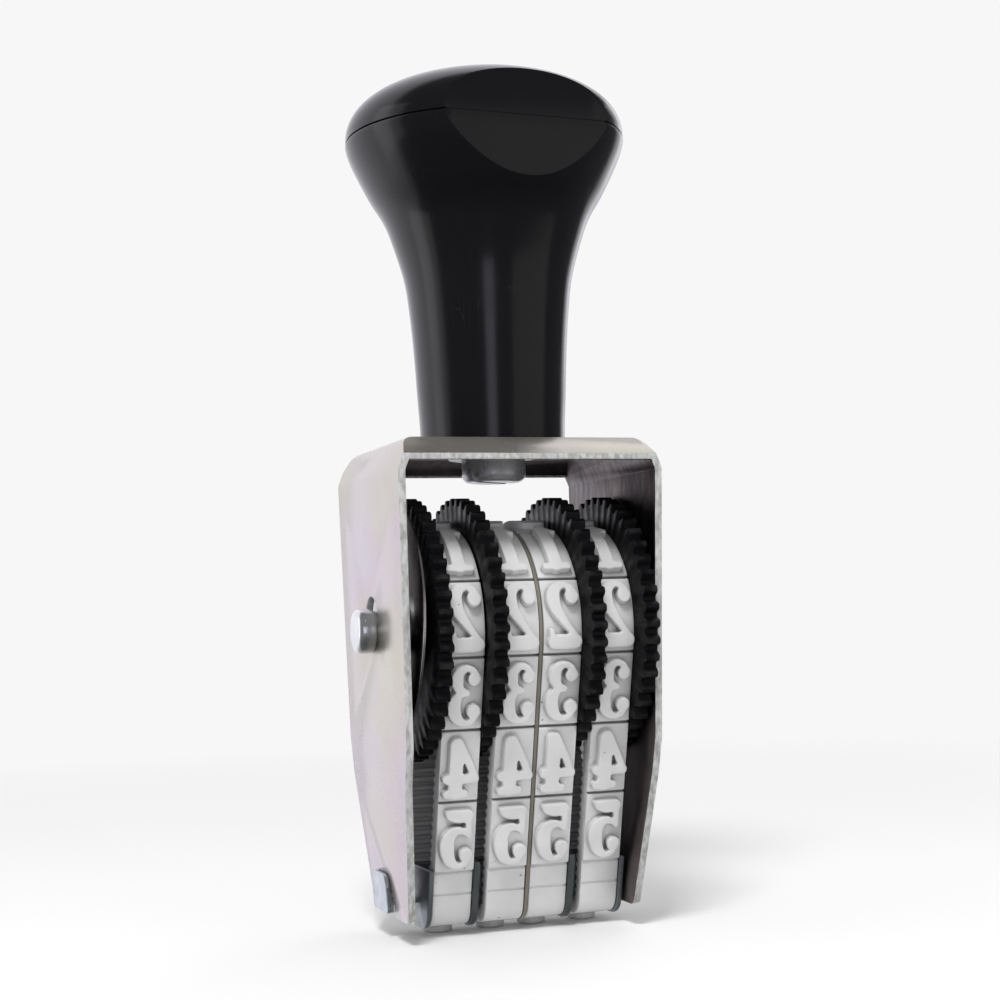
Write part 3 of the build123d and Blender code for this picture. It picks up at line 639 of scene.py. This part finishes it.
# each digit is a few strokes of (x, y, thickness); its round ends are very short strokes
# all are drawn the readable way round, and turned over when they go on the band
digitStrokes = {
    "0": [
        [(0, 3.75, 0.7), (-1.25, 2.9, 1.2), (-1.6, 0, 1.7), (-1.25, -2.9, 1.2), (0, -3.75, 0.7)],
        [(0, 3.75, 0.7), (1.25, 2.9, 1.2), (1.6, 0, 1.7), (1.25, -2.9, 1.2), (0, -3.75, 0.7)],
    ],
    "1": [
        [(0.1, 3.6, 1.5), (0.1, 0, 1.5), (0.1, -3.4, 1.5)],
        [(-0.3, 3.6, 0.8), (-1.2, 3.1, 0.6), (-1.7, 2.9, 0.5)],
        [(-1.7, -3.7, 0.75), (0, -3.7, 0.75), (1.8, -3.7, 0.75)],
    ],
    "2": [
        [(-1.35, 2.35, 1.5), (-1.35, 2.3, 1.5)],
        [(-1.85, 2.6, 0.5), (-1.3, 3.45, 0.6), (0, 3.8, 0.7), (1.25, 3.1, 1.25), (1.6, 1.9, 1.5),
         (1.15, 0.6, 1.25), (-0.2, -1.1, 0.8), (-1.75, -2.75, 0.6)],
        [(-1.75, -3.3, 1.3), (0, -3.3, 1.4), (1.75, -3.3, 1.3)],
        [(1.95, -3, 0.7), (2.1, -1.9, 0.5)],
    ],
    "3": [
        [(-1.3, 2.35, 1.4), (-1.3, 2.3, 1.4)],
        [(-1.75, 2.7, 0.5), (-1.1, 3.5, 0.6), (0.1, 3.8, 0.7), (1.15, 3.1, 1.15), (1.3, 2, 1.3),
         (0.8, 0.9, 0.9), (-0.3, 0.4, 0.6)],
        [(-0.3, 0.4, 0.6), (0.8, 0.25, 0.8), (1.55, -0.8, 1.3), (1.6, -1.9, 1.45), (1.1, -3.1, 1.15),
         (0, -3.8, 0.7), (-1.2, -3.5, 0.6), (-1.85, -2.6, 0.5)],
        [(-1.4, -2.25, 1.5), (-1.4, -2.2, 1.5)],
    ],
    "4": [
        [(0.85, 3.3, 1.55), (0.85, 0, 1.55), (0.85, -3.4, 1.55)],
        [(0.5, 3.75, 0.75), (-0.8, 1.3, 0.8), (-1.95, -1.1, 0.8)],
        [(-2.05, -1.5, 1), (0, -1.5, 1), (2.15, -1.5, 1)],
        [(-0.6, -3.65, 0.9), (0.8, -3.65, 0.9), (2.1, -3.65, 0.9)],
    ],
    "5": [
        [(-1.35, 3.35, 1.3), (0, 3.3, 1.4), (1.2, 3.5, 1.1), (1.85, 3.85, 0.4)],
        [(-1.5, 3.5, 0.75), (-1.55, 2.2, 0.7), (-1.65, 0.5, 0.6)],
        [(-1.65, 0.5, 0.5), (-0.7, 1.15, 0.7), (0.5, 1.2, 1), (1.5, 0.2, 1.45), (1.65, -1.2, 1.6),
         (1.15, -2.9, 1.25), (0, -3.8, 0.7), (-1.2, -3.5, 0.6), (-1.8, -2.7, 0.5)],
        [(-1.35, -2.3, 1.5), (-1.35, -2.25, 1.5)],
    ],
    "6": [
        [(1.3, 2.45, 1.35), (1.3, 2.4, 1.35)],
        [(1.75, 2.7, 0.5), (1.1, 3.5, 0.6), (0.1, 3.75, 0.7), (-1.1, 2.7, 1.2), (-1.6, 0.8, 1.6),
         (-1.6, -1.5, 1.6), (-1.1, -3, 1.2), (0, -3.8, 0.7)],
        [(0, -3.8, 0.7), (1.15, -3.1, 1.2), (1.6, -1.7, 1.45), (1.2, -0.1, 1.1), (0.2, 0.5, 0.7),
         (-1.2, -0.3, 0.6)],
    ],
    "7": [
        [(-1.6, 3.3, 1.3), (0, 3.25, 1.4), (1.75, 3.4, 1.2)],
        [(-1.95, 3.4, 0.6), (-2.05, 2, 0.5)],
        [(1.75, 3.2, 0.7), (0.7, 1.2, 0.9), (-0.1, -1.2, 1.4), (-0.3, -3.2, 1.8)],
    ],
    "8": [
        [(0, 3.8, 0.7), (-1.2, 3, 1), (-1.2, 1.5, 1.1), (0.2, 0.3, 1.1), (1.5, -1.2, 1.4),
         (1.3, -3, 1.1), (0, -3.8, 0.7)],
        [(0, 3.8, 0.7), (1.2, 3, 0.9), (1.2, 1.5, 0.9), (0, 0.4, 0.9), (-1.4, -1, 1.1),
         (-1.5, -2.6, 1.1), (0, -3.8, 0.7)],
    ],
}
digitStrokes["9"] = [[(-x, -y, w) for x, y, w in stroke] for stroke in digitStrokes["6"]]


def makeDigit(character):
    # short drafted studs along each stroke, fused into one moulded shape
    look = {"voxel": 0.13, "draft": 0.12, "sunk": 0.35, "weight": 1.3, "narrow": 0.93, "studs": 14,
            "sides": 18}
    height = band["type"] + look["sunk"]
    bm = bmesh.new()
    for stroke in digitStrokes[character]:
        for x, y, w in smoothPath(stroke, look["studs"] if len(stroke) > 2 else 4):
            place = Matrix.Translation((x * look["narrow"], y, height / 2 - look["sunk"]))
            r = w / 2 * look["weight"]
            bmesh.ops.create_cone(bm, cap_ends=True, segments=look["sides"],
                                  radius1=r + look["draft"], radius2=r, depth=height, matrix=place)
    mesh = bpy.data.meshes.new("digit")
    bm.to_mesh(mesh)
    bm.free()
    holder = bpy.data.objects.new("digit", mesh)
    bpy.context.scene.collection.objects.link(holder)
    fuse = holder.modifiers.new("fuse", "REMESH")
    fuse.mode = "VOXEL"
    fuse.voxel_size = look["voxel"]
    fused = bpy.data.meshes.new_from_object(holder.evaluated_get(bpy.context.evaluated_depsgraph_get()))
    bpy.data.objects.remove(holder)
    bpy.data.meshes.remove(mesh)
    bm = bmesh.new()
    bm.from_mesh(fused)
    bpy.data.meshes.remove(fused)
    for _ in range(3):
        bmesh.ops.smooth_vert(bm, verts=bm.verts, factor=0.5, use_axis_x=True, use_axis_y=True,
                              use_axis_z=True)
    buried = [f for f in bm.faces if f.calc_center_median().z < 0.12 - look["sunk"]]
    bmesh.ops.delete(bm, geom=buried, context="FACES")
    return bm


def makeBand():
    half = loopLength / 2
    bm = makeStrip()
    digits = {}
    for place, character in enumerate(band["characters"]):
        if not character:
            continue
        if character not in digits:
            digits[character] = makeDigit(character)
        centre = band["firstCharacter"] + place * pitch
        if centre > half:
            centre -= loopLength
        digit = digits[character].copy()
        bmesh.ops.scale(digit, vec=(-1, 1, 1), verts=digit.verts)      # type reads backwards
        bmesh.ops.reverse_faces(digit, faces=digit.faces)
        bmesh.ops.translate(digit, vec=(0, centre, band["pad"]), verts=digit.verts)
        wrap(digit)
        mesh = bpy.data.meshes.new("digitOnBand")
        digit.to_mesh(mesh)
        digit.free()
        bm.from_mesh(mesh)
        bpy.data.meshes.remove(mesh)
    for digit in digits.values():
        digit.free()
    return bm


oneBand = makeBand()
for number in range(1, 5):
    node = f"band_{number}"
    copy = oneBand.copy()
    bmesh.ops.translate(copy, vec=(middle(node).x / mm, 0, 0), verts=copy.verts)
    newPiece(f"numberBand{number}", copy, bandRubber, "stamp_body", node, smoothAngle=38, slot="band")
oneBand.free()
print("bands made, loop", round(loopLength, 2))


# axle, spring disc and the small plates

def makeAxle():
    size = {"radius": 3.1, "chamfer": 0.75, "groove": 0.3, "grooveWidth": 1.5, "legMiddle": 18.14,
            "steps": 96}
    low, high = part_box("axle")
    left, right = low.x / mm, high.x / mm
    r, g = size["radius"], size["radius"] - size["groove"]
    # one end's outline as (depth from the end, radius), then the groove that sits in the leg
    end = [(0, 0), (0, 1.2), (0.05, r - size["chamfer"]), (0.18, r - 0.45), (0.42, r - 0.16),
           (size["chamfer"], r)]
    near = right - size["legMiddle"] - size["grooveWidth"] / 2
    far = near + size["grooveWidth"]
    end += [(near, r), (near, g), (far, g), (far, r)]
    outline = [(left + depth, radius) for depth, radius in end]
    outline += [(right - depth, radius) for depth, radius in reversed(end)]
    bm = spun([(x, axleY, axleZ + radius) for x, radius in outline], size["steps"], (1, 0, 0),
              (0, axleY, axleZ), closed=False)
    newPiece("wheelAxle", bm, axleSteel, "stamp_body", "axle", smoothAngle=40, slot="axle")


def softCopy(name, node, material, width, slot, angle=35):
    bm = fromNode(node)
    softenEdges(bm, width, 2, angle)
    return newPiece(name, bm, material, "stamp_body", node, slot=slot)


makeAxle()
softCopy("springDisc", "spring_disc", springSteel, 0.08, "spring_steel")
softCopy("thrustWasher", "thrust_washer", springSteel, 0.06, "spring_steel")
softCopy("bandDivider", "band_divider", dividerPlate, 0.1, "divider", 50)
softCopy("finLeft", "separator_left", separatorPlate, 0.18, "separator", 50)
softCopy("finRight", "separator_right", separatorPlate, 0.18, "separator", 50)
platenBar = softCopy("platenBar", "platen", shadedPlatenPlate, 0.16, "platen", 40)
platenBar.data.materials.append(litEarPlate)
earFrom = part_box("platen")[1].x - 0.0015        # the folded ears lie outside the legs
# the ears, outside the legs, take the lighter copy of the plate as painted light; the bar keeps the darker
# copy as painted shade
for face in platenBar.data.polygons:
    if abs(face.center.x) > earFrom:
        face.material_index = 1
softCopy("knobScrew", "handle_screw", screwSteel, 0.15, "screw", 40)
softCopy("starWasher", "lock_washer", screwSteel, 0.1, "screw", 40)
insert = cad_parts["handle_insert"]
insert.data.materials.clear()
insert.data.materials.append(brassInsert)
print("axle, discs and plates made")


# floor, backdrop, lights and camera

def makeStage():
    stage = {"floorSize": 6.0, "colour": (0.93, 0.93, 0.93), "fadeFrom": 0.08, "fadeTo": 0.34,
             "backdrop": 0.93, "air": 0.55, "dim": 0.12, "panel": 1.15,
             "panelTowards": (-0.259, 0.966, 0.0), "panelEdge": (0.36, 0.46), "underside": (-0.75, -0.3)}
    material, nodes, links, shader = newMaterial("paleFloor", stage["colour"], 0.7)
    shader.inputs["Specular IOR Level"].default_value = 0.2
    # far from the stamp the floor fades into the backdrop
    place = nodes.new("ShaderNodeTexCoord")
    away = nodes.new("ShaderNodeVectorMath")
    away.operation = "LENGTH"
    links.new(place.outputs["Object"], away.inputs[0])
    glow = nodes.new("ShaderNodeEmission")
    glow.inputs["Strength"].default_value = stage["backdrop"]
    blend = nodes.new("ShaderNodeMixShader")
    fade = spread(nodes, links, away.outputs["Value"], 0, 1, stage["fadeFrom"], stage["fadeTo"])
    links.new(fade, blend.inputs["Fac"])
    links.new(shader.outputs["BSDF"], blend.inputs[1])
    links.new(glow.outputs["Emission"], blend.inputs[2])
    links.new(blend.outputs["Shader"], nodes["Material Output"].inputs["Surface"])
    bm = bmesh.new()
    bmesh.ops.create_grid(bm, x_segments=1, y_segments=1, size=stage["floorSize"] / 2)
    mesh = bpy.data.meshes.new("floor")
    bm.to_mesh(mesh)
    bm.free()
    mesh.materials.append(material)
    floor = bpy.data.objects.new("floor", mesh)
    bpy.context.scene.collection.objects.link(floor)
    floor.visible_glossy = False

    # gloss sees a dark studio with one broad pale panel behind; everything else sees plain white air
    world = bpy.data.worlds.new("studio")
    bpy.context.scene.world = world
    world.use_nodes = True
    nodes, links = world.node_tree.nodes, world.node_tree.links
    plain = nodes["Background"]
    look = nodes.new("ShaderNodeTexCoord")
    towards = nodes.new("ShaderNodeVectorMath")
    towards.operation = "DOT_PRODUCT"
    towards.inputs[1].default_value = stage["panelTowards"]
    links.new(look.outputs["Generated"], towards.inputs[0])
    panel = spread(nodes, links, towards.outputs["Value"], stage["dim"], stage["panel"],
                   *stage["panelEdge"])
    apart = nodes.new("ShaderNodeSeparateXYZ")
    links.new(look.outputs["Generated"], apart.inputs[0])
    lift = spread(nodes, links, apart.outputs["Z"], 0.3, 1.0, *stage["underside"])
    studio = nodes.new("ShaderNodeMath")
    studio.operation = "MULTIPLY"
    links.new(panel, studio.inputs[0])
    links.new(lift, studio.inputs[1])
    glossy = nodes.new("ShaderNodeBackground")
    links.new(studio.outputs[0], glossy.inputs["Strength"])
    glossy.inputs["Color"].default_value = (0.95, 0.93, 1.0, 1)
    backdrop = nodes.new("ShaderNodeBackground")
    backdrop.inputs["Color"].default_value = (1, 1, 1, 1)
    backdrop.inputs["Strength"].default_value = stage["backdrop"]
    plain.inputs["Color"].default_value = (1, 1, 1, 1)
    plain.inputs["Strength"].default_value = stage["air"]
    path = nodes.new("ShaderNodeLightPath")
    seen = nodes.new("ShaderNodeMixShader")
    links.new(path.outputs["Is Camera Ray"], seen.inputs["Fac"])
    links.new(plain.outputs[0], seen.inputs[1])
    links.new(backdrop.outputs[0], seen.inputs[2])
    either = nodes.new("ShaderNodeMixShader")
    links.new(path.outputs["Is Glossy Ray"], either.inputs["Fac"])
    links.new(seen.outputs[0], either.inputs[1])
    links.new(glossy.outputs[0], either.inputs[2])
    links.new(either.outputs[0], nodes["World Output"].inputs["Surface"])
    bpy.context.scene.view_settings.view_transform = "Standard"


def makeLights():
    # each is a flat panel of width by height that faces its aim
    body, knob = (0, 0, 0.055), (0, 0, 0.07)
    lights = {
        "overheadKey": {"place": (-0.16, -0.26, 0.52), "aim": body, "size": (0.14, 0.14), "power": 2.0,
                        "colour": (1, 1, 1)},
        "softboxFrontRight": {"place": (0.55, -0.62, 0.14), "aim": body, "size": (0.85, 0.6),
                              "power": 0.62, "colour": (1.0, 0.92, 0.89)},
        "stripFront": {"place": (-0.17, -0.52, 0.10), "aim": knob, "size": (0.13, 0.30), "power": 0.17,
                       "colour": (0.86, 0.83, 1.0)},
        "panelAboveRight": {"place": (0.44, 0.27, 0.75), "aim": body, "size": (0.4, 0.4), "power": 0.55,
                            "colour": (1, 1, 1)},
        "softboxLeft": {"place": (-0.55, 0.12, 0.16), "aim": body, "size": (0.3, 0.6), "power": 0.35,
                        "colour": (1, 1, 1)},
        "rimRight": {"place": (0.45, 0.35, 0.16), "aim": body, "size": (0.2, 0.5), "power": 0.30,
                     "colour": (1, 1, 1)},
    }
    for name, look in lights.items():
        data = bpy.data.lights.new(name, "AREA")
        data.shape = "RECTANGLE"
        data.size, data.size_y = look["size"]
        data.energy = look["power"]
        data.color = look["colour"]
        light = bpy.data.objects.new(name, data)
        bpy.context.scene.collection.objects.link(light)
        light.location = look["place"]
        facing = Vector(look["aim"]) - Vector(look["place"])
        light.rotation_euler = facing.to_track_quat("-Z", "Y").to_euler()
        # the key's own glint would be a hard spot on the knob
        light.visible_glossy = name != "overheadKey"


def makeCamera():
    view = {"lens": 62.6, "place": (-81.7, -236.2, 45.2), "yaw": 19.26, "pitch": 3.55, "roll": -1.70}
    yaw, pitch, roll = radians(view["yaw"]), radians(view["pitch"]), radians(view["roll"])
    forward = Vector((sin(yaw) * cos(pitch), cos(yaw) * cos(pitch), sin(pitch)))
    level = Vector((cos(yaw), -sin(yaw), 0))
    upright = level.cross(forward)
    right = cos(roll) * level + sin(roll) * upright
    up = -sin(roll) * level + cos(roll) * upright
    data = bpy.data.cameras.new("camera")
    data.lens = view["lens"]
    data.sensor_width = 36
    data.clip_start = 0.01
    camera = bpy.data.objects.new("camera", data)
    bpy.context.scene.collection.objects.link(camera)
    turn = Matrix((right, up, -forward)).transposed()
    place = Vector(view["place"]) * mm + Vector((0, axleY * mm, 0))
    camera.matrix_world = Matrix.Translation(place) @ turn.to_4x4()
    bpy.context.scene.camera = camera


makeStage()
makeLights()
makeCamera()
print("stage, lights and camera made")
